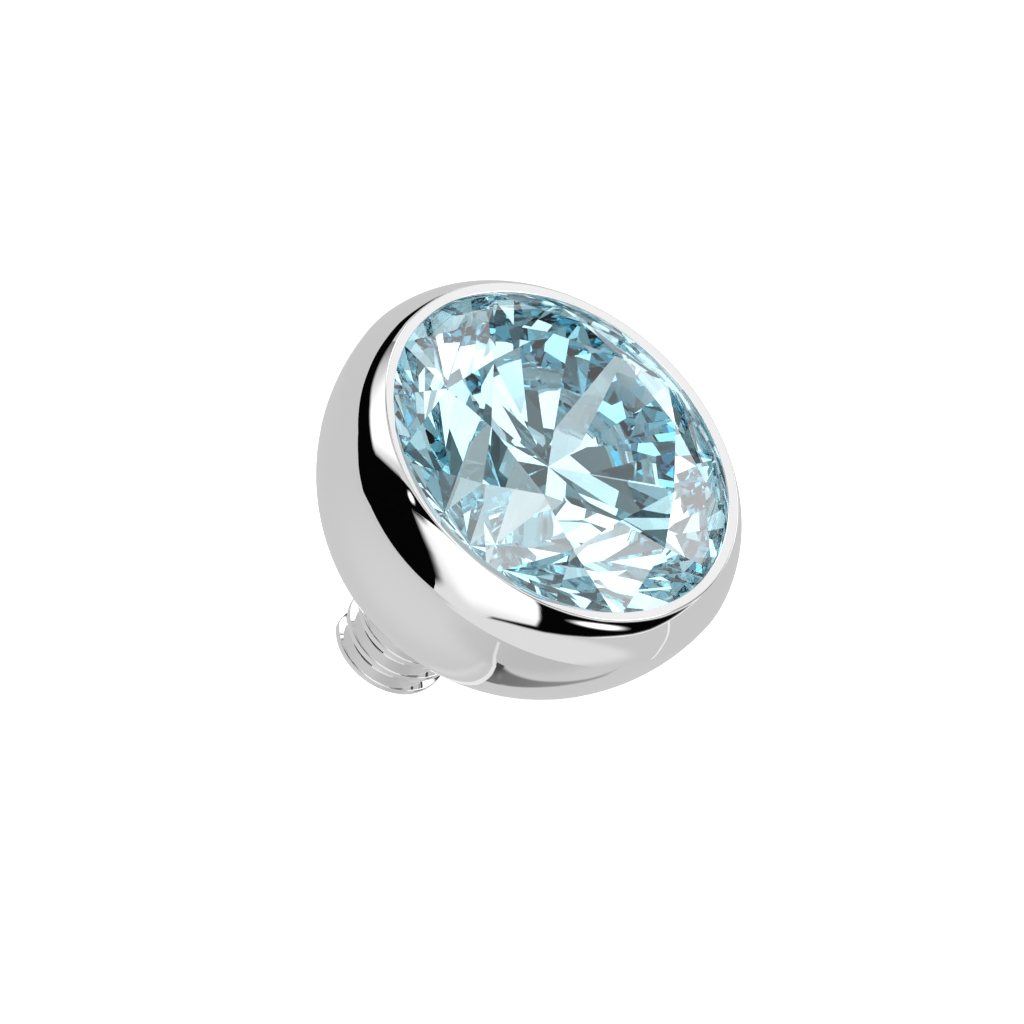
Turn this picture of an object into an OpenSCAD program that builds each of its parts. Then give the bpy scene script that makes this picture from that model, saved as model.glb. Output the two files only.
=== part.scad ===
// Threaded gem ball for internally threaded body jewellery, in millimetres.
// A ball-shaped steel setting, cut flat at the back, holds a round brilliant flush in a rolled bezel.
// A short threaded post behind it screws into the end of a bar.
// The jewel lies on a table as it would by itself: on the ball's side and the end of the post.

/* [Setting] */
// Diameter of the ball that the setting is turned from
ball_d = 4.5; // [4.45:0.01:4.7]
// Height of the ball's widest line above the flat back
crease_h = 1.9; // [1.84:0.01:2]
// Height of the bezel, from the widest line to the lip's outer edge
bezel_h = 0.47; // [0.43:0.01:0.5]
// Angle by which the surface turns inwards at the widest line, where ball and bezel meet
crease_angle = 11; // [6:1:14]
// Outer diameter of the lip's flat band
lip_d = 3.98; // [3.94:0.01:4.02]
// Width of the lip's flat band
lip_w = 0.1; // [0.07:0.005:0.12]
// Fall of the band towards the stone
lip_fall = 0.02; // [0:0.005:0.03]
// Least thickness of metal behind the stone's point
floor_t = 0.24; // [0.2:0.01:0.27]
// Width of the bearing that the stone sits on
seat_w = 0.35; // [0.2:0.05:0.7]

/* [Stone] */
// Diameter of the stone at its girdle
stone_d = 3.84; // [3.82:0.01:3.9]
// Height of the table above the lip's outer edge
table_rise = 0.43; // [0.39:0.01:0.46]
// Table across its corners, as a share of the stone's diameter
table_share = 0.58; // [0.53:0.005:0.62]
// Slope of the eight kite facets of the crown
crown_angle = 35; // [33.5:0.5:36]
// Slope of the eight main facets of the pavilion
pavilion_angle = 41; // [40:0.25:41.5]
// Reach of the star facets, as a share of the way from the table's edge to the girdle
star_share = 0.47; // [0.4:0.01:0.55]
// Length of the lower girdle facets, as a share of the way from the girdle to the culet
lower_share = 0.79; // [0.7:0.01:0.85]
// Thickness of the girdle at its corners
girdle_t = 0.23; // [0.15:0.01:0.25]
// Gap between the stone and the metal
stone_gap = 0.02; // [0.01:0.005:0.03]

/* [Post] */
// Length of the post, from the flat back to the tip
post_l = 1.69; // [1.5:0.01:2.4]
// Diameter of the plain neck
neck_d = 1.28; // [1.25:0.01:1.35]
// Length of the plain neck
neck_l = 0.21; // [0.18:0.01:0.35]
// Outer diameter of the thread
thread_d = 1.2; // [1.15:0.01:1.24]
// Pitch of the right-hand thread
thread_pitch = 0.25; // [0.24:0.01:0.3]
// Depth of the thread
thread_depth = 0.12; // [0.11:0.005:0.13]
// Width of the thread's flat crest
crest_w = 0.075; // [0.04:0.005:0.085]
// Angle between the flanks of the thread
flank_angle = 30; // [24:1:60]
// Radius of the rounded tip
tip_r = 0.67; // [0.6:0.01:1]

/* [Hidden] */

$fn = 96;
METAL = "gainsboro";
AQUA = "paleturquoise";

// Setting, in its own frame: the jewel's axis is Z, the flat back lies at height 0
ball_r = ball_d / 2;
lip_r = lip_d / 2;
lip_z = crease_h + bezel_h;
opening_r = lip_r - lip_w;
bezel_in = ball_r - lip_r;
bezel_chord = norm([bezel_in, bezel_h]);
bezel_turn = atan2(bezel_in, bezel_h) - crease_angle;
bezel_r = bezel_chord / (2 * sin(bezel_turn));
bezel_centre = [ball_r - bezel_r * cos(crease_angle), crease_h - bezel_r * sin(crease_angle)];
// The outline starts its turn a little beside the line on which the jewel lies
SEAM_TURN = 1.9;

// Stone, in the same frame
FACETS = 8;
HALF = 180 / FACETS;
GIRDLE_STEPS = 4;
GIRDLE_N = 2 * FACETS * GIRDLE_STEPS;
stone_r = stone_d / 2;
table_r = stone_r * table_share;
table_z = lip_z + table_rise;
girdle_top = table_z - (stone_r - table_r) * tan(crown_angle);
girdle_bottom = girdle_top - girdle_t;
culet_z = girdle_bottom - stone_r * tan(pavilion_angle);
table_edge_r = table_r * cos(HALF);
star_r = table_edge_r + star_share * (stone_r - table_edge_r);
star_z = table_z - (star_r * cos(HALF) - table_r) * tan(crown_angle);
lower_r = stone_r * (1 - lower_share);
lower_z = culet_z + lower_r * cos(HALF) * tan(pavilion_angle);

// Slopes of the stone's steepest lines, which the metal round it follows
crown_line = (star_z - girdle_top) / (stone_r - star_r);
pavilion_line = (girdle_bottom - lower_z) / (stone_r - lower_r);
RELIEF = 6;

// Post, in the same frame, below height 0
neck_r = neck_d / 2;
thread_r = thread_d / 2;
core_r = thread_r - thread_depth;
tip_centre = tip_r - post_l;
tip_edge_z = tip_centre - sqrt(tip_r * tip_r - core_r * core_r);
TURN_STEPS = 24;
RUN_IN = 0.2;
RIDGE_START_TURN = 178;
ridge_foot_r = core_r - 0.02;
ridge_start_z = tip_edge_z + 0.04;
ridge_end_z = -neck_l / 2;
ridge_n = floor((ridge_end_z - ridge_start_z) / thread_pitch * TURN_STEPS);

// How the jewel lies: the ball's side and the first part of the post to come down touch the table,
// which is the tip's rim or a corner of the thread's first turns
function lean_on(x, z) = asin(ball_r / norm([crease_h - z, x])) - atan2(x, crease_h - z);
lean = min(concat(
    [lean_on(core_r, tip_edge_z)],
    [for (i = [0:2 * TURN_STEPS], p = ridge_section(i)) lean_on(p[0], p[2])]
));
rest_z = ball_r - crease_h * sin(lean);
high_x = lip_z * cos(lean) + lip_r * sin(lean);
low_x = tip_centre * cos(lean) - tip_r;
rest_x = -(high_x + low_x) / 2;

EXTRA = 0.5;

// Places a shape that is drawn about the Z axis as the jewel lies, stone up and to +X
module as_it_lies() {
    translate([rest_x, 0, rest_z]) rotate([0, 90 - lean, 0]) children();
}

// Half outline of the ball, the bezel, the neck, the core of the thread and the rounded tip
module outer_half() {
    intersection() {
        translate([0, crease_h]) circle(r = ball_r);
        square([ball_r, crease_h]);
    }
    intersection() {
        translate(bezel_centre) circle(r = bezel_r);
        translate([bezel_centre[0], crease_h]) square([bezel_r, bezel_h + EXTRA]);
    }
    translate([0, crease_h]) square([bezel_centre[0], bezel_h]);
    translate([0, -neck_l]) square([neck_r, neck_l]);
    translate([0, tip_edge_z]) square([core_r, -neck_l - tip_edge_z]);
    intersection() {
        translate([0, tip_centre]) circle(r = tip_r);
        translate([0, -post_l]) square([tip_r, tip_edge_z + post_l]);
    }
}

// Height of the cavity's cone at a radius, for a clearance measured across the gap
function crown_gap_z(r, gap) =
    girdle_top + (stone_r - r) * crown_line + gap * norm([1, crown_line]);
function pavilion_gap_z(r, gap) =
    girdle_bottom - (stone_r - r) * pavilion_line - gap * norm([1, pavilion_line]);

// Half outline of what the stone and the work round it take out of the metal
module cavity_half() {
    wall_r = stone_r + stone_gap;
    seat_r = wall_r - seat_w;
    relief = RELIEF * stone_gap;
    floor_r = stone_r - (pavilion_gap_z(stone_r, relief) - floor_t) / pavilion_line;
    band_slope = lip_fall / lip_w;
    polygon([
        [0, floor_t],
        [floor_r, floor_t],
        [seat_r, pavilion_gap_z(seat_r, relief)],
        [seat_r, pavilion_gap_z(seat_r, stone_gap)],
        [wall_r, pavilion_gap_z(wall_r, stone_gap)],
        [wall_r, crown_gap_z(wall_r, stone_gap)],
        [opening_r, crown_gap_z(opening_r, stone_gap)],
        [opening_r, lip_z - lip_fall],
        [lip_r + EXTRA, lip_z + band_slope * EXTRA],
        [lip_r + EXTRA, lip_z + 2 * EXTRA],
        [0, lip_z + 2 * EXTRA],
    ]);
}

// Corners of the thread ridge's section at a step along the helix, rising from the core over the run-in
function ridge_section(i) =
    let (
        grown = min(1, 0.1 + i / (RUN_IN * TURN_STEPS)),
        top_r = ridge_foot_r + (thread_r - ridge_foot_r) * grown,
        foot_w = crest_w / 2 + (top_r - ridge_foot_r) * tan(flank_angle / 2),
        z = ridge_start_z + thread_pitch * i / TURN_STEPS,
        a = RIDGE_START_TURN + 360 * i / TURN_STEPS
    )
    [for (p = [[ridge_foot_r, -foot_w], [top_r, -crest_w / 2], [top_r, crest_w / 2], [ridge_foot_r, foot_w]])
        [p[0] * cos(a), p[0] * sin(a), z + p[1]]];

// The right-hand helical ridge of the thread
module thread_ridge() {
    points = [for (i = [0:ridge_n]) each ridge_section(i)];
    sides = [for (i = [0:ridge_n - 1], k = [0:3])
        let (a = 4 * i + k, b = 4 * i + (k + 1) % 4)
        each [[a, b, a + 4], [b, b + 4, a + 4]]];
    last = 4 * ridge_n;
    polyhedron(points, concat([[3, 2, 1, 0]], sides, [[last, last + 1, last + 2, last + 3]]));
}

// One turned piece: ball, bezel, neck and threaded post
module setting() {
    color(METAL) as_it_lies() {
        rotate([0, 0, SEAM_TURN]) rotate_extrude() difference() {
            outer_half();
            cavity_half();
        }
        thread_ridge();
    }
}

function at(r, a, z) = [r * cos(a), r * sin(a), z];

// Height, at a place in plan, of the plane through three points
function plane_z(p, q, s, place) =
    let (n = cross(q - p, s - p))
    p[2] - (n[0] * (place[0] - p[0]) + n[1] * (place[1] - p[1])) / n[2];

// Height of the girdle's edge at a step round it, where the facets from the inner points meet the girdle
function edge_z(k, inner_r, inner_z, corner_z) =
    let (
        corner = floor(k / GIRDLE_STEPS),
        a = HALF * corner,
        b = HALF * (corner + 1),
        inner_a = HALF * (2 * floor(corner / 2) + 1),
        p = at(inner_r, inner_a, inner_z)
    )
    plane_z(p, at(stone_r, a, corner_z), at(stone_r, b, corner_z), at(stone_r, k * 360 / GIRDLE_N, 0));

// Round brilliant: table, 8 stars, 8 kites, 16 upper girdle facets, a scalloped girdle,
// 16 lower girdle facets and 8 mains that meet at the culet
module brilliant() {
    tables = [for (j = [0:FACETS - 1]) at(table_r, 2 * HALF * j, table_z)];
    stars = [for (j = [0:FACETS - 1]) at(star_r, HALF * (2 * j + 1), star_z)];
    lowers = [for (j = [0:FACETS - 1]) at(lower_r, HALF * (2 * j + 1), lower_z)];
    tops = [for (k = [0:GIRDLE_N - 1])
        at(stone_r, k * 360 / GIRDLE_N, edge_z(k, star_r, star_z, girdle_top))];
    bottoms = [for (k = [0:GIRDLE_N - 1])
        at(stone_r, k * 360 / GIRDLE_N, edge_z(k, lower_r, lower_z, girdle_bottom))];
    S = FACETS;
    L = 2 * FACETS;
    T = 3 * FACETS;
    B = T + GIRDLE_N;
    culet = B + GIRDLE_N;
    function next(j) = (j + 1) % FACETS;
    function before(j) = (j + FACETS - 1) % FACETS;
    function round_k(k) = (k + GIRDLE_N) % GIRDLE_N;
    function first_k(j) = 2 * GIRDLE_STEPS * j;
    polyhedron(
        concat(tables, stars, lowers, tops, bottoms, [[0, 0, culet_z]]),
        concat(
            [[for (j = [FACETS - 1:-1:0]) j]],
            [for (j = [0:FACETS - 1]) [j, next(j), S + j]],
            [for (j = [0:FACETS - 1]) [j, S + j, T + first_k(j), S + before(j)]],
            [for (j = [0:FACETS - 1], h = [0, 1])
                let (k = first_k(j) + h * GIRDLE_STEPS)
                [S + j, for (i = [GIRDLE_STEPS:-1:0]) T + round_k(k + i)]],
            [for (k = [0:GIRDLE_N - 1]) [T + k, T + round_k(k + 1), B + round_k(k + 1), B + k]],
            [for (j = [0:FACETS - 1], h = [0, 1])
                let (k = first_k(j) + h * GIRDLE_STEPS)
                [L + j, for (i = [0:GIRDLE_STEPS]) B + round_k(k + i)]],
            [for (j = [0:FACETS - 1]) [culet, L + before(j), B + first_k(j), L + j]]
        )
    );
}

module gem() {
    color(AQUA, 0.6) as_it_lies() brilliant();
}

setting();
gem();
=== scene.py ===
"""Threaded gem ball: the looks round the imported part, in metres, in the part's own frame."""
import math

import bmesh
import bpy
from mathutils import Matrix, Vector
from mathutils.geometry import delaunay_2d_cdt


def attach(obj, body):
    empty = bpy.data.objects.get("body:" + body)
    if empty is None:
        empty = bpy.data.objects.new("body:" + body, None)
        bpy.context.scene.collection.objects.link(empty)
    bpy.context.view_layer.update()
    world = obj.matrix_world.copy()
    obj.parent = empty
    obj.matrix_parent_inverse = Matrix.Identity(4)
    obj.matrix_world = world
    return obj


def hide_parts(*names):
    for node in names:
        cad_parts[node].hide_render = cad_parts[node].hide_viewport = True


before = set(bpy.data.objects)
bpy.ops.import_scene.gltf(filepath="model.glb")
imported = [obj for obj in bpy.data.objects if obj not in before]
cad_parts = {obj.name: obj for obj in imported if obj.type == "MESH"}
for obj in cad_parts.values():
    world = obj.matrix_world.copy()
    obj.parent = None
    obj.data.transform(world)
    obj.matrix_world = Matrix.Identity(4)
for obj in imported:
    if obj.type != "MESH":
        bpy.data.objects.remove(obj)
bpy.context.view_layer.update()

MM = 0.001

# Sizes of the part in millimetres, about the jewel's own axis: the flat back is at height 0
BALL_R = 2.25
CREASE_Z = 1.9
BEZEL_H = 0.47
CREASE_TURN = math.radians(11)
LIP_R = 1.99
LIP_W = 0.1
LIP_FALL = 0.02
FLOOR_T = 0.24
SEAT_W = 0.35
STONE_R = 1.92
TABLE_RISE = 0.43
TABLE_SHARE = 0.58
CROWN = math.radians(35)
PAVILION = math.radians(41)
STAR_SHARE = 0.47
LOWER_SHARE = 0.79
GIRDLE_T = 0.23
STONE_GAP = 0.02
RELIEF = 6
POST_L = 1.69
NECK_R = 0.64
NECK_L = 0.21
THREAD_R = 0.6
PITCH = 0.25
THREAD_DEPTH = 0.12
CREST_W = 0.075
FLANK = math.radians(15)
TIP_R = 0.67
RIDGE_START_TURN = 178
RUN_IN = 0.2
FIRST_RISE = 0.1
SUNK_BELOW = 0.02
RIDGE_ABOVE_TIP = 0.04
FOOT_FILLET = 0.006
CREST_FILLET = 0.012
NECK_EDGE = 0.008
BACK_CHAMFER = 0.012
BACK_EDGE = 0.01
LIP_OUT_FILLET = 0.014
LIP_IN_FILLET = 0.01
OUTER_SKIN = 0.1
NEARLY = 0.001
LEAN = math.radians(32.3281)
REST_X = -0.767468
REST_Z = 1.23394

LIP_Z = CREASE_Z + BEZEL_H
OPENING_R = LIP_R - LIP_W
CORE_R = THREAD_R - THREAD_DEPTH
TIP_CENTRE = TIP_R - POST_L
TIP_EDGE_Z = TIP_CENTRE - math.sqrt(TIP_R ** 2 - CORE_R ** 2)
RIDGE_START_Z = TIP_EDGE_Z + RIDGE_ABOVE_TIP
HALF = math.pi / 8
TABLE_R = STONE_R * TABLE_SHARE
TABLE_Z = LIP_Z + TABLE_RISE
GIRDLE_TOP = TABLE_Z - (STONE_R - TABLE_R) * math.tan(CROWN)
GIRDLE_BOTTOM = GIRDLE_TOP - GIRDLE_T
CULET_Z = GIRDLE_BOTTOM - STONE_R * math.tan(PAVILION)
TABLE_EDGE_R = TABLE_R * math.cos(HALF)
STAR_R = TABLE_EDGE_R + STAR_SHARE * (STONE_R - TABLE_EDGE_R)
STAR_Z = TABLE_Z - (STAR_R * math.cos(HALF) - TABLE_R) * math.tan(CROWN)
LOWER_R = STONE_R * (1 - LOWER_SHARE)
LOWER_Z = CULET_Z + LOWER_R * math.cos(HALF) * math.tan(PAVILION)
CROWN_LINE = (STAR_Z - GIRDLE_TOP) / (STONE_R - STAR_R)
PAVILION_LINE = (GIRDLE_BOTTOM - LOWER_Z) / (STONE_R - LOWER_R)

COLUMNS = 288
DOME_ROWS = 56
BEZEL_ROWS = 28
TIP_ROWS = 14
as_it_lies = (
    Matrix.Translation((REST_X * MM, 0, REST_Z * MM))
    @ Matrix.Rotation(math.pi / 2 - LEAN, 4, "Y")
    @ Matrix.Scale(MM, 4)
)


# Outline of the setting
def arc(centre, radius, start, end, steps):
    """Points of an arc; the angles are measured from outwards towards the stone, in degrees."""
    out = []
    for i in range(steps + 1):
        a = math.radians(start + (end - start) * i / steps)
        out.append((centre[0] + radius * math.cos(a), centre[1] + radius * math.sin(a)))
    return out


def fillet(before, corner, after, radius, steps=4):
    """The rounded corner between two straight lines."""
    p, c, q = Vector(before), Vector(corner), Vector(after)
    u, v = (p - c).normalized(), (q - c).normalized()
    half = u.angle(v) / 2
    start, end = c + u * radius / math.tan(half), c + v * radius / math.tan(half)
    centre = c + (u + v).normalized() * radius / math.sin(half)
    a, b = start - centre, end - centre
    out = []
    for i in range(steps + 1):
        d = a.lerp(b, i / steps)
        out.append(tuple(centre + d.normalized() * radius))
    return out


def crown_gap(r):
    """Height of the metal that follows the stone's crown at a radius."""
    return GIRDLE_TOP + (STONE_R - r) * CROWN_LINE + STONE_GAP * math.hypot(1, CROWN_LINE)


def pavilion_gap(r, gap):
    """Height of the metal that follows the stone's pavilion at a radius, a gap below it."""
    return GIRDLE_BOTTOM - (STONE_R - r) * PAVILION_LINE - gap * math.hypot(1, PAVILION_LINE)


def setting_rows():
    """Rows (radius, height, sharp) from the neck's foot over the ball and the lip to the cavity's floor."""
    bezel_in = BALL_R - LIP_R
    turn = math.atan2(bezel_in, BEZEL_H) - CREASE_TURN
    bezel_r = math.hypot(bezel_in, BEZEL_H) / (2 * math.sin(turn))
    centre = (BALL_R - bezel_r * math.cos(CREASE_TURN), CREASE_Z - bezel_r * math.sin(CREASE_TURN))
    top = math.degrees(math.asin((LIP_Z - centre[1]) / bezel_r))
    low = -math.degrees(math.asin(CREASE_Z / BALL_R))
    flat_r = math.sqrt(BALL_R ** 2 - CREASE_Z ** 2)
    dome = arc((0, CREASE_Z), BALL_R, low, 0, DOME_ROWS)
    bezel = arc(centre, bezel_r, math.degrees(CREASE_TURN), top, BEZEL_ROWS)
    lip_in = (OPENING_R, LIP_Z - LIP_FALL)
    lip_out = fillet(bezel[-2], (LIP_R, LIP_Z), lip_in, LIP_OUT_FILLET, 6)
    lip_edge = fillet((LIP_R, LIP_Z), lip_in, (OPENING_R, crown_gap(OPENING_R)), LIP_IN_FILLET, 5)
    wall_r = STONE_R + STONE_GAP
    seat_r = wall_r - SEAT_W
    relief = RELIEF * STONE_GAP
    floor_r = STONE_R - (pavilion_gap(STONE_R, relief) - FLOOR_T) / PAVILION_LINE
    rows = [
        (NECK_R, -NECK_L + NECK_EDGE, False),
        (NECK_R, -BACK_CHAMFER, False),
        (NECK_R + BACK_CHAMFER, 0, True),
        (flat_r - BACK_EDGE, 0, False),
    ]
    rows += [(r, z, False) for r, z in dome[1:-1]] + [(dome[-1][0], dome[-1][1], True)]
    rows += [(r, z, False) for r, z in bezel[1:-2]]
    rows += [(r, z, False) for r, z in lip_out + lip_edge]
    rows += [
        (OPENING_R, crown_gap(OPENING_R), True),
        (wall_r, crown_gap(wall_r), True),
        (wall_r, pavilion_gap(wall_r, STONE_GAP), True),
        (seat_r, pavilion_gap(seat_r, STONE_GAP), True),
        (seat_r, pavilion_gap(seat_r, relief), True),
        (floor_r, FLOOR_T, True),
    ]
    return rows


def in_cavity(r, z):
    """Whether a point of the setting lies on the faces under the stone's girdle."""
    within_wall = r < STONE_R + STONE_GAP + NEARLY and math.hypot(r, z - CREASE_Z) < BALL_R - OUTER_SKIN
    return within_wall and FLOOR_T - NEARLY < z < GIRDLE_BOTTOM + NEARLY


# The thread
def thread_section():
    """One pitch of the thread's outline: (height from the crest's middle, radius above the core)."""
    foot = CREST_W / 2 + THREAD_DEPTH * math.tan(FLANK)
    crest = CREST_W / 2
    corners = [
        (-PITCH / 2, 0), (-foot, 0), (-crest, THREAD_DEPTH), (crest, THREAD_DEPTH), (foot, 0), (PITCH / 2, 0),
    ]
    out = [corners[0]]
    for i, radius in ((1, FOOT_FILLET), (2, CREST_FILLET), (3, CREST_FILLET), (4, FOOT_FILLET)):
        out += fillet(corners[i - 1], corners[i], corners[i + 1], radius, 3)
    return out


SECTION = thread_section()


def section_height(dz):
    """Height of the full thread above its core at a distance from the crest's middle."""
    for (z0, h0), (z1, h1) in zip(SECTION, SECTION[1:]):
        if z0 <= dz <= z1:
            return h0 + (h1 - h0) * (dz - z0) / (z1 - z0)
    return 0.0


def thread_radius(angle, z):
    """Radius of the threaded part at an angle in degrees and a height."""
    first = RIDGE_START_Z + PITCH * (angle - RIDGE_START_TURN) / 360
    turn = round((z - first) / PITCH)
    turns_on = (angle - RIDGE_START_TURN) / 360 + turn
    if turns_on < 0:
        return CORE_R
    sunk = (1 - min(1, FIRST_RISE + turns_on / RUN_IN)) * (THREAD_DEPTH + SUNK_BELOW)
    return CORE_R + max(0.0, section_height(z - first - turn * PITCH) - sunk)


def add_thread(bm):
    """The threaded part from tip to neck, in rows that follow the helix. Returns its two end rings."""
    top_z = -NECK_L
    wraps = math.ceil((top_z - TIP_EDGE_Z) / PITCH) + 2
    columns = []
    for j in range(COLUMNS):
        angle = 360 * j / COLUMNS
        column = []
        for wrap in range(-1, wraps):
            for dz, _ in SECTION[:-1]:
                z = RIDGE_START_Z + PITCH * ((angle - RIDGE_START_TURN) / 360 + wrap) + dz
                z = max(TIP_EDGE_Z, min(top_z, z))
                r = thread_radius(angle, z)
                a = math.radians(angle)
                column.append(bm.verts.new((r * math.cos(a), r * math.sin(a), z)))
        columns.append(column)
    per_wrap = len(SECTION) - 1
    for j in range(COLUMNS):
        here, there = columns[j], columns[(j + 1) % COLUMNS]
        shift = per_wrap if j == COLUMNS - 1 else 0
        for k in range(len(here) - 1):
            if k + shift + 1 < len(there):
                bm.faces.new([here[k], there[k + shift], there[k + 1 + shift], here[k + 1]])
    return [c[0] for c in columns], [c[-1] for c in columns]


def ring(bm, r, z):
    """A level circle of points about the jewel's axis."""
    return [
        bm.verts.new((r * math.cos(2 * math.pi * j / COLUMNS), r * math.sin(2 * math.pi * j / COLUMNS), z))
        for j in range(COLUMNS)
    ]


def bridge(bm, low, high):
    """A band of faces between two rings."""
    for j in range(COLUMNS):
        n = (j + 1) % COLUMNS
        bm.faces.new([low[j], low[n], high[n], high[j]])


def make_setting():
    """The setting as one fine mesh: tip, thread, neck, ball, bezel, lip and cavity."""
    bm = bmesh.new()
    bottom, top = add_thread(bm)
    sharp = []
    # The rounded tip, from its pole to the thread's lower end
    edge = math.asin(CORE_R / TIP_R)
    low = None
    for i in range(1, TIP_ROWS + 1):
        a = edge * i / TIP_ROWS
        r, z = TIP_R * math.sin(a), TIP_CENTRE - TIP_R * math.cos(a)
        rim = ring(bm, r, z) if i < TIP_ROWS else bottom
        if low is None:
            pole = bm.verts.new((0, 0, -POST_L))
            for j in range(COLUMNS):
                bm.faces.new([pole, rim[(j + 1) % COLUMNS], rim[j]])
        else:
            bridge(bm, low, rim)
        low = rim
    # Neck, ball, bezel, lip and cavity
    shoulder = ring(bm, NECK_R - NECK_EDGE, -NECK_L)
    bridge(bm, top, shoulder)
    sharp.append(top)
    low = shoulder
    for r, z, is_sharp in setting_rows():
        rim = ring(bm, r, z)
        bridge(bm, low, rim)
        if is_sharp:
            sharp.append(rim)
        low = rim
    pole = bm.verts.new((0, 0, FLOOR_T))
    for j in range(COLUMNS):
        bm.faces.new([low[j], low[(j + 1) % COLUMNS], pole])
    for rim in sharp:
        for j in range(COLUMNS):
            e = bm.edges.get((rim[j], rim[(j + 1) % COLUMNS]))
            if e:
                e.smooth = False
    for f in bm.faces:
        f.smooth = True
    bmesh.ops.remove_doubles(bm, verts=bm.verts, dist=1e-5)
    bmesh.ops.dissolve_degenerate(bm, edges=bm.edges, dist=1e-6)
    mesh = bpy.data.meshes.new("polished_setting")
    bm.to_mesh(mesh)
    bm.free()
    # Marks the faces under the stone's girdle, which the steel material turns into a dark non-metal with a
    # painted glow
    inside = [float(in_cavity(math.hypot(v.co.x, v.co.y), v.co.z)) for v in mesh.vertices]
    mesh.attributes.new("painted_glow_share", "FLOAT", "POINT").data.foreach_set("value", inside)
    mesh.transform(as_it_lies)
    mesh.update()
    obj = bpy.data.objects.new("polished_setting", mesh)
    bpy.context.scene.collection.objects.link(obj)
    crisp = obj.modifiers.new("crisp_flanks", "WEIGHTED_NORMAL")
    crisp.mode = "FACE_AREA"
    crisp.keep_sharp = True
    return obj


# Materials
STEEL_DARK = (0.90, 0.90, 0.905, 1)
STEEL_LIGHT = (0.93, 0.93, 0.93, 1)
STEEL_CLOUDS = 900.0
STEEL_ROUGH = (0.015, 0.03)
# Base colour and strength of the painted glow on the cavity's faces behind the stone, which lights the
# stone's pavilion
GLOWING_CAVITY_COLOUR = (0.1, 0.1, 0.1, 1)
CAVITY_PAINTED_GLOW = 0.5
STONE_INDEX = 2.40
STONE_CLOUDS = 400.0
STONE_TINT = (0.19, 0.775, 0.9, 1)
STONE_DENSITY = 145.0


def node_material(name):
    """A new material with only its output node."""
    mat = bpy.data.materials.new(name)
    mat.use_nodes = True
    nodes, links = mat.node_tree.nodes, mat.node_tree.links
    nodes.clear()
    out = nodes.new("ShaderNodeOutputMaterial")
    return mat, nodes, links, out


def steel():
    """Mirror-polished steel, and a painted glow on the cavity's faces behind the stone: they are a dark
    non-metal that gives off light, so that the stone's pavilion isn't dark.
    """
    mat, nodes, links, out = node_material("polished_steel")
    b = nodes.new("ShaderNodeBsdfPrincipled")
    place = nodes.new("ShaderNodeTexCoord")
    # Share of painted glow: 1 on the cavity's faces under the stone, 0 on the polished metal
    painted_glow_share = nodes.new("ShaderNodeAttribute")
    painted_glow_share.attribute_name = "painted_glow_share"
    cloud = nodes.new("ShaderNodeTexNoise")
    cloud.inputs["Scale"].default_value = STEEL_CLOUDS
    cloud.inputs["Detail"].default_value = 3.0
    tint = nodes.new("ShaderNodeValToRGB")
    tint.color_ramp.elements[0].color = STEEL_DARK
    tint.color_ramp.elements[1].color = STEEL_LIGHT
    rough = nodes.new("ShaderNodeMapRange")
    rough.inputs["To Min"].default_value = STEEL_ROUGH[0]
    rough.inputs["To Max"].default_value = STEEL_ROUGH[1]
    metal = nodes.new("ShaderNodeMapRange")
    metal.inputs["To Min"].default_value = 1.0
    metal.inputs["To Max"].default_value = 0.0
    glow = nodes.new("ShaderNodeMapRange")
    glow.inputs["To Max"].default_value = CAVITY_PAINTED_GLOW
    colour = nodes.new("ShaderNodeMix")
    colour.data_type = "RGBA"
    colour.inputs["B"].default_value = GLOWING_CAVITY_COLOUR
    b.inputs["Emission Color"].default_value = (1, 1, 1, 1)
    links.new(place.outputs["Object"], cloud.inputs["Vector"])
    links.new(cloud.outputs["Fac"], tint.inputs["Fac"])
    links.new(cloud.outputs["Fac"], rough.inputs["Value"])
    links.new(painted_glow_share.outputs["Fac"], metal.inputs["Value"])
    links.new(painted_glow_share.outputs["Fac"], glow.inputs["Value"])
    links.new(painted_glow_share.outputs["Fac"], colour.inputs["Factor"])
    links.new(tint.outputs["Color"], colour.inputs["A"])
    links.new(colour.outputs["Result"], b.inputs["Base Color"])
    links.new(metal.outputs["Result"], b.inputs["Metallic"])
    links.new(glow.outputs["Result"], b.inputs["Emission Strength"])
    links.new(rough.outputs["Result"], b.inputs["Roughness"])
    links.new(b.outputs["BSDF"], out.inputs["Surface"])
    return mat


def aqua_stone():
    """Clear stone whose depth gives it an aqua tint."""
    mat, nodes, links, out = node_material("aqua_stone")
    b = nodes.new("ShaderNodeBsdfPrincipled")
    b.inputs["Roughness"].default_value = 0.0
    b.inputs["IOR"].default_value = STONE_INDEX
    b.inputs["Transmission Weight"].default_value = 1.0
    place = nodes.new("ShaderNodeTexCoord")
    cloud = nodes.new("ShaderNodeTexNoise")
    cloud.inputs["Scale"].default_value = STONE_CLOUDS
    tint = nodes.new("ShaderNodeValToRGB")
    tint.color_ramp.elements[0].color = (0.97, 1.0, 1.0, 1)
    tint.color_ramp.elements[1].color = (1.0, 1.0, 1.0, 1)
    links.new(place.outputs["Object"], cloud.inputs["Vector"])
    links.new(cloud.outputs["Fac"], tint.inputs["Fac"])
    links.new(tint.outputs["Color"], b.inputs["Base Color"])
    links.new(b.outputs["BSDF"], out.inputs["Surface"])
    v = nodes.new("ShaderNodeVolumeAbsorption")
    v.inputs["Color"].default_value = STONE_TINT
    v.inputs["Density"].default_value = STONE_DENSITY
    links.new(v.outputs["Volume"], out.inputs["Volume"])
    return mat


setting = make_setting()
setting.data.materials.append(steel())
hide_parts("setting")
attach(setting, "root")

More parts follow.
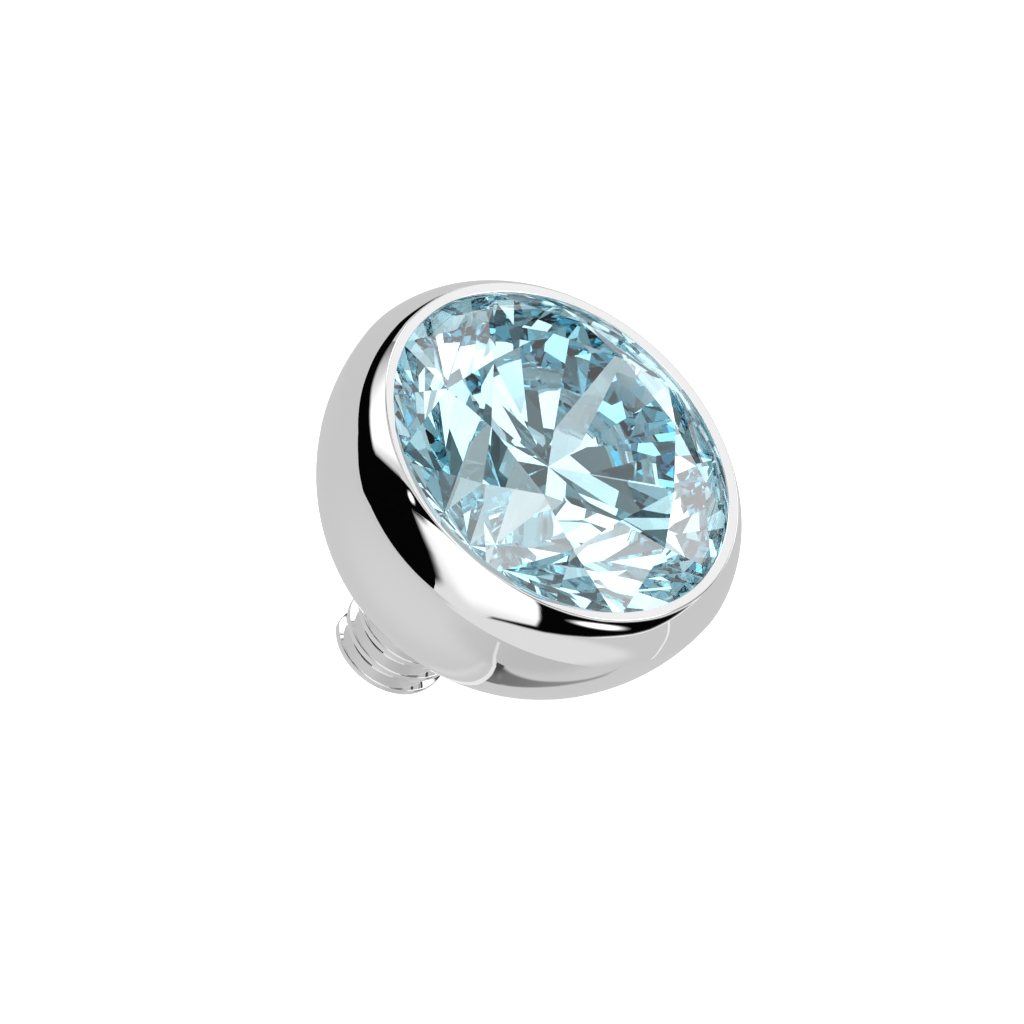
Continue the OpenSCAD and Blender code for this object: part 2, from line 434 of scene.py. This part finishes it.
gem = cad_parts["gem"]
stone = aqua_stone()
for i in range(max(1, len(gem.material_slots))):
    if gem.material_slots:
        gem.material_slots[i].material = stone
    else:
        gem.data.materials.append(stone)

# Camera, at the photo's angle to the jewel and just above the floor
VIEW_AZ, VIEW_EL, VIEW_ROLL = math.radians(-34.37), math.radians(0.64), math.radians(-0.63)
VIEW_D = 83.3
PX_PER_MM = 100.48
IMAGE = 1024
SENSOR = 36
AIM_PX = (562.1, 450.9)
AIM_LOCAL_Z = 2.34

level_front = Vector((math.cos(VIEW_AZ), math.sin(VIEW_AZ), 0))
level_right = Vector((-math.sin(VIEW_AZ), math.cos(VIEW_AZ), 0))
toward = math.cos(VIEW_EL) * level_front + math.sin(VIEW_EL) * Vector((0, 0, 1))
level_up = toward.cross(level_right)
jewel_axis = Vector((math.cos(LEAN), 0, math.sin(LEAN)))
right = level_right * math.cos(VIEW_ROLL) + level_up * math.sin(VIEW_ROLL)
up = level_up * math.cos(VIEW_ROLL) - level_right * math.sin(VIEW_ROLL)
aim = Vector((REST_X + AIM_LOCAL_Z * math.cos(LEAN), 0, REST_Z + AIM_LOCAL_Z * math.sin(LEAN)))
eye = aim + toward * VIEW_D
eye -= right * (AIM_PX[0] - IMAGE / 2) / PX_PER_MM + up * (IMAGE / 2 - AIM_PX[1]) / PX_PER_MM
cam_data = bpy.data.cameras.new("camera")
cam_data.sensor_width = SENSOR
cam_data.lens = SENSOR * PX_PER_MM * VIEW_D / IMAGE
cam_data.clip_start = 0.001
cam_data.clip_end = 100
cam = bpy.data.objects.new("camera", cam_data)
cam.matrix_world = Matrix((
    (right.x, up.x, toward.x, eye.x * MM),
    (right.y, up.y, toward.y, eye.y * MM),
    (right.z, up.z, toward.z, eye.z * MM),
    (0, 0, 0, 1),
))
bpy.context.scene.collection.objects.link(cam)
bpy.context.scene.camera = cam


# Floor, tents and cards
def glow_material():
    """Light whose strength is kept in each mesh, so that a card can fade softly."""
    mat, nodes, links, out = node_material("glow")
    e = nodes.new("ShaderNodeEmission")
    e.inputs["Color"].default_value = (1, 1, 1, 1)
    strength = nodes.new("ShaderNodeAttribute")
    strength.attribute_name = "glow"
    links.new(strength.outputs["Fac"], e.inputs["Strength"])
    links.new(e.outputs["Emission"], out.inputs["Surface"])
    return mat


GLOW = glow_material()
TENT_R = 0.6
FLOOR_HALF = 3.0
FLOOR_COLOUR = (0.9, 0.9, 0.9, 1)
FLOOR_GLOW = 0.7
FINE_GRAIN, COARSE_GRAIN = 1.0, 2.5


def direction(az, el):
    """Unit vector for degrees to the right of the camera's side and above the floor."""
    a, e = math.radians(az), math.radians(el)
    level = math.cos(a) * level_front + math.sin(a) * level_right
    return math.cos(e) * level + math.sin(e) * Vector((0, 0, 1))


def add_light(name, bm, levels, for_stone=False):
    """A luminous surface that only the metal sees, or only the light that has been inside the stone."""
    mesh = bpy.data.meshes.new(name)
    bm.to_mesh(mesh)
    bm.free()
    mesh.attributes.new("glow", "FLOAT", "POINT").data.foreach_set("value", levels)
    mesh.materials.append(GLOW)
    obj = bpy.data.objects.new(name, mesh)
    bpy.context.scene.collection.objects.link(obj)
    obj.visible_camera = False
    obj.visible_diffuse = False
    obj.visible_shadow = False
    obj.visible_glossy = not for_stone
    obj.visible_transmission = for_stone


def step(low, high, v):
    """0 below low, 1 above high and a smooth rise between; falls where high is below low."""
    t = min(1.0, max(0.0, (v - low) / (high - low)))
    return t * t * (3 - 2 * t)


def rim_distance(outline, az, el):
    """Degrees from a point of a card to the nearest side of its outline."""
    best = 360.0
    flat = math.cos(math.radians(el))
    p = Vector((az * flat, el))
    for (a0, e0), (a1, e1) in zip(outline, outline[1:] + outline[:1]):
        q, r = Vector((a0 * flat, e0)), Vector((a1 * flat, e1))
        side = r - q
        t = min(1.0, max(0.0, (p - q).dot(side) / side.dot(side)))
        best = min(best, (p - q - side * t).length)
    return best


def add_card(name, outline, level, depth, soft=0.0, rim_level=None):
    """A card inside the tent: its outline in degrees (to the right, up), filled and bent onto a sphere.

    Over its outermost soft degrees the card fades to the rim's level.
    """
    spots = [Vector(p) for p in outline]
    low = [min(p[k] for p in outline) for k in (0, 1)]
    high = [max(p[k] for p in outline) for k in (0, 1)]
    grain = FINE_GRAIN if soft else COARSE_GRAIN
    for i in range(int((high[0] - low[0]) / grain)):
        for k in range(int((high[1] - low[1]) / grain)):
            spots.append(Vector((low[0] + (i + 0.5) * grain, low[1] + (k + 0.5) * grain)))
    points, _, faces, _, _, _ = delaunay_2d_cdt(spots, [], [list(range(len(outline)))], 1, 0.001)
    bm = bmesh.new()
    levels = []
    for az, el in points:
        here = level(az, el) if callable(level) else level
        if soft:
            outer = rim_level(az, el)
            here = outer + (here - outer) * step(0, soft, rim_distance(outline, az, el))
        levels.append(here)
        bm.verts.new(direction(az, el) * (TENT_R * depth))
    bm.verts.ensure_lookup_table()
    for face in faces:
        bm.faces.new([bm.verts[i] for i in face])
    add_light(name, bm, levels)


def add_oval(name, az, el, wide, high, level, depth):
    """An oval card that fades from its middle to its rim."""
    bm = bmesh.new()
    rings, spokes = 8, 32
    levels = []
    spots = [(0.0, 0.0)]
    spots += [(k / rings, 2 * math.pi * j / spokes) for k in range(1, rings + 1) for j in range(spokes)]
    for reach, a in spots:
        x, y = az + wide * reach * math.cos(a), el + high * reach * math.sin(a)
        bm.verts.new(direction(x, y) * (TENT_R * depth))
        levels.append(BLACK + (level - BLACK) * step(1, 0.2, reach))
    bm.verts.ensure_lookup_table()
    for j in range(spokes):
        n = (j + 1) % spokes
        bm.faces.new([bm.verts[0], bm.verts[1 + j], bm.verts[1 + n]])
        for k in range(rings - 1):
            p, q = 1 + k * spokes, 1 + (k + 1) * spokes
            bm.faces.new([bm.verts[p + j], bm.verts[q + j], bm.verts[q + n], bm.verts[p + n]])
    add_light(name, bm, levels)


def add_line(name, path, width, level, depth):
    """A thin strip along a path in degrees."""
    bm = bmesh.new()
    levels = []
    last = None
    for i, (az, el) in enumerate(path):
        p, q = path[max(0, i - 1)], path[min(len(path) - 1, i + 1)]
        flat = math.cos(math.radians(el))
        dx, dy = (q[0] - p[0]) * flat, q[1] - p[1]
        size = math.hypot(dx, dy)
        nx, ny = -dy / size / flat * width / 2, dx / size * width / 2
        pair = [bm.verts.new(direction(az + k * nx, el + k * ny) * (TENT_R * depth)) for k in (-1, 1)]
        levels += [level(i / (len(path) - 1))] * 2
        if last:
            bm.faces.new([last[0], pair[0], pair[1], last[1]])
        last = pair
    add_light(name, bm, levels)


def add_tent(name, level, scale, for_stone=False):
    """A luminous sphere round the jewel; its level depends on the direction."""
    bm = bmesh.new()
    bmesh.ops.create_icosphere(bm, subdivisions=6, radius=TENT_R * scale)
    levels = []
    ahead = direction(0, 0)
    for v in bm.verts:
        d = v.co.normalized()
        az = math.degrees(math.atan2(d.dot(level_right), d.dot(ahead)))
        levels.append(level(d, az, math.degrees(math.asin(max(-1, min(1, d.z))))))
    add_light(name, bm, levels, for_stone)


def add_floor():
    """A plain white floor that the mirror finish and the stone don't see."""
    mesh = bpy.data.meshes.new("floor")
    s = FLOOR_HALF
    mesh.from_pydata([(-s, -s, 0), (s, -s, 0), (s, s, 0), (-s, s, 0)], [], [(0, 1, 2, 3)])
    obj = bpy.data.objects.new("floor", mesh)
    mat, nodes, links, out = node_material("floor")
    b = nodes.new("ShaderNodeBsdfPrincipled")
    b.inputs["Base Color"].default_value = FLOOR_COLOUR
    b.inputs["Roughness"].default_value = 0.9
    b.inputs["Specular IOR Level"].default_value = 0.0
    b.inputs["Emission Color"].default_value = (1, 1, 1, 1)
    b.inputs["Emission Strength"].default_value = FLOOR_GLOW
    links.new(b.outputs["BSDF"], out.inputs["Surface"])
    mesh.materials.append(mat)
    bpy.context.scene.collection.objects.link(obj)
    obj.visible_glossy = False
    obj.visible_transmission = False


BLACK = 0.0015
GREY = 0.62
LIP_WHITE = 0.95
OVER_METAL = 0.08
BOX_THROUGH_STONE = 2.1
GAP_THROUGH_STONE = 0.1
FLOOR_THROUGH_STONE = 0.9
WORLD_WHITE = 1.25

# Distances of the cards as shares of the tent's radius, the nearest first, where they overlap
OVAL_AT, BLACK_AT, WHITE_AT, LINE_AT, LOW_AT, LIGHT_AT = 0.86, 0.9, 0.92, 0.93, 0.94, 0.95
STONE_TENT_AT = 1.02

# Which surfaces mirror a direction to the camera, by their tilt from the jewel's axis, in degrees: past the
# bezel's end only the crown's facets do, then the lip, and round the axis the table
BEZEL_END_TILT = 90 - math.degrees(2 * math.atan2(BALL_R - LIP_R, BEZEL_H) - CREASE_TURN)
CROWN_TILT = BEZEL_END_TILT - 3
LIP_TILT = 16
TABLE_TILT = 5
TILT_RIM = 2
TABLE_LEVEL = 0.55
CROWN_BOX_LEVEL = 2.2

# Soft boxes: a ring of them round the jewel, with gaps between, and one overhead
BOXES = 6
FIRST_BOX = 10
RING_FROM, RING_TO = -10, 60
OVERHEAD_FROM = 72
BOX_RIM = 6
FLOOR_RIM = 12
# Round the ring a cosine runs from 1 in a box's middle to -1 between two boxes; their sides lie between these
SIDE_DARK, SIDE_BRIGHT = -0.2, 0.3


def mirror_tilt(d):
    """Tilt from the jewel's axis, in degrees, of the surface that mirrors a direction to the camera."""
    return math.degrees((d + toward).angle(jewel_axis, math.pi / 2))


def boxes(az, el):
    """1 inside a soft box and 0 in the gaps between them."""
    ring = step(SIDE_DARK, SIDE_BRIGHT, math.cos(math.radians(BOXES * (az - FIRST_BOX))))
    ring *= step(RING_FROM - BOX_RIM, RING_FROM, el) * step(RING_TO + BOX_RIM, RING_TO, el)
    return max(ring, step(OVERHEAD_FROM, OVERHEAD_FROM + BOX_RIM, el))


def metal_tent(d, az, el):
    """Even grey for the turned metal, soft boxes for the crown, white for the lip and grey for the table."""
    low_front = step(-44, -52, el) * step(110, 80, abs(az - 20))
    far_left = step(48, 10, math.hypot(az + 118, el + 42))
    low_behind = step(-52, -64, el) * step(75, 45, abs((az + 340) % 360 - 180))
    level = GREY + 0.16 * low_front
    level += 0.07 * far_left
    level -= 0.08 * low_behind
    tilt = mirror_tilt(d)
    crown = OVER_METAL + (CROWN_BOX_LEVEL - OVER_METAL) * boxes(az, el)
    level += (crown - level) * step(CROWN_TILT + TILT_RIM, CROWN_TILT, tilt)
    level += (LIP_WHITE - level) * step(LIP_TILT + TILT_RIM, LIP_TILT, tilt)
    return level + (TABLE_LEVEL - level) * step(TABLE_TILT + TILT_RIM, TABLE_TILT, tilt)


def stone_tent(d, az, el):
    """What is seen through the stone: the soft boxes, the dark gaps between them and the pale floor."""
    level = GAP_THROUGH_STONE + (BOX_THROUGH_STONE - GAP_THROUGH_STONE) * boxes(az, el)
    under = RING_FROM - BOX_RIM
    return level + (FLOOR_THROUGH_STONE - level) * step(under, under - FLOOR_RIM, el)


def front_level(az, el):
    """The white panel in front, greyer along its left and lower edges."""
    return 0.8 + 0.3 * step(-33, -18, az + 0.5 * max(0, el)) * step(-52, -34, el)


def front_rim(az, el):
    """The front panel fades to black on its left only."""
    level = front_level(az, el)
    return level + (0.03 - level) * step(-18, -24, az) * step(-38, -28, el)


def upper_rim(az, el):
    """The upper left panel fades on its lower side only."""
    return 0.12 if mirror_tilt(direction(az, el)) > BEZEL_END_TILT + 4.5 else upper_level(az, el)


def low_dark(az, el):
    """The dark panel near the ground, deepest beside the thin bright line."""
    return 0.34 - 0.16 * step(160, 194, az) - 0.11 * step(193, 200, az)


def low_rim(az, el):
    """The dark panel near the ground ends sharply at the bright line and softly elsewhere."""
    return low_dark(az, el) if az > 187.5 - 0.5 * (el + 35) else GREY


def upper_level(az, el):
    """The white panel above the black one, which fades to the far left and just over the black's edge."""
    return 0.25 + 0.45 * step(-135, -95, az) + 0.5 * step(-100, -70, az) * step(31, 40, el - 0.1 * (az + 65))


def right_rim(az, el):
    """What the right black panel fades to: the white panel on its left and the pale ground below it."""
    return 1.1 + (0.72 - 1.1) * step(-40, -46, el)


add_floor()
add_tent("tent", metal_tent, 1)
add_tent("stone_tent", stone_tent, STONE_TENT_AT, for_stone=True)
add_card("black_left", [
    (-180, 42), (-172, 47), (-165, 50), (-150, 53), (-140, 54), (-128, 53), (-115, 50), (-105, 45),
    (-95, 38), (-88, 31), (-85, 22), (-84, 14), (-82, 5), (-77, 0), (-72, -10), (-67, -20), (-60, -31),
    (-53, -39), (-45, -34), (-39, -28), (-35, -20), (-32, -10), (-31, 2), (-31, 15), (-20, 14), (-8, 12),
    (-17, 21), (-25, 28), (-32, 30), (-45, 31), (-62, 31), (-66, 33), (-72, 39), (-78, 44), (-85, 49),
    (-95, 53), (-105, 57), (-120, 61), (-135, 63), (-150, 61), (-165, 56), (-172, 52), (-180, 47),
], BLACK, BLACK_AT)
add_card("white_front", [
    (-32, 15), (-20, 14), (-8, 12), (5, 4), (28, -11), (31, -20), (29, -35), (26, -44), (0, -47),
    (-14, -49), (-22, -52), (-45, -50), (-53, -39), (-45, -34), (-39, -28), (-35, -20), (-32, -10),
], front_level, WHITE_AT, 7, front_rim)
add_card("black_right", [
    (28, -12), (28, -20), (26, -35), (23, -44), (0, -47), (-10, -48), (-20, -53), (0, -52), (30, -51),
    (45, -48), (60, -44), (72, -39), (84, -34), (92, -29), (100, -21), (112, -8), (105, -10.5), (90, -16),
    (75, -18.5), (60, -20), (45, -18),
], BLACK, BLACK_AT, 2.2, right_rim)
add_card("white_upper_left", [
    (-62, 31), (-45, 31), (-32, 30), (-25, 28), (-17, 21), (-16, 25), (-30, 38), (-45, 53), (-60, 64),
    (-90, 70), (-110, 70.5), (-135, 68), (-135, 63), (-120, 61), (-105, 57), (-95, 53), (-85, 49),
    (-78, 44), (-72, 39), (-66, 33),
], upper_level, WHITE_AT, 3, upper_rim)
add_oval("glint_right", 60, -28.5, 19, 4.2, 2.2, OVAL_AT)
add_oval("glint_left", -27.5, 22.5, 3.4, 4.4, 2.0, OVAL_AT)
add_card("dark_low", [
    (156, -43), (165, -39), (173, -40), (179, -39.5), (187, -36.5), (192, -37), (196, -47), (202, -56),
    (206, -61), (199, -60), (190, -55), (182, -51), (175, -48.5), (166, -44.5),
], low_dark, LOW_AT, 2.5, low_rim)
add_card("light_low", [
    (188, -14), (194, -20), (199, -34), (205, -47), (211, -57), (205, -57), (198, -47), (193, -34),
    (188, -18),
], 0.72, LIGHT_AT, 3, lambda az, el: GREY)
add_card("dark_side", [(150, -46), (157, -46), (157, -30), (154, -28)], 0.05, LOW_AT)
add_line("bright_low", [
    (183, -5), (187, -18), (192, -35), (197, -48), (203, -57), (215, -65), (240, -73),
], 1.0, lambda t: 0.9 - 0.12 * t, LINE_AT)
add_line("bright_side", [
    (98, -21), (106, -27), (115, -32), (125, -36), (140, -38),
], 1.1, lambda t: 0.92, LINE_AT)

world = bpy.data.worlds.new("studio")
world.use_nodes = True
world.node_tree.nodes["Background"].inputs["Color"].default_value = (1, 1, 1, 1)
world.node_tree.nodes["Background"].inputs["Strength"].default_value = WORLD_WHITE
scene = bpy.context.scene
scene.world = world
scene.view_settings.view_transform = "Standard"
scene.view_settings.look = "None"
scene.view_settings.exposure = 0
scene.view_settings.gamma = 1
scene.cycles.max_bounces = 32
scene.cycles.transmission_bounces = 32
scene.cycles.glossy_bounces = 16
scene.cycles.use_denoising = True
scene.cycles.sample_clamp_indirect = 10
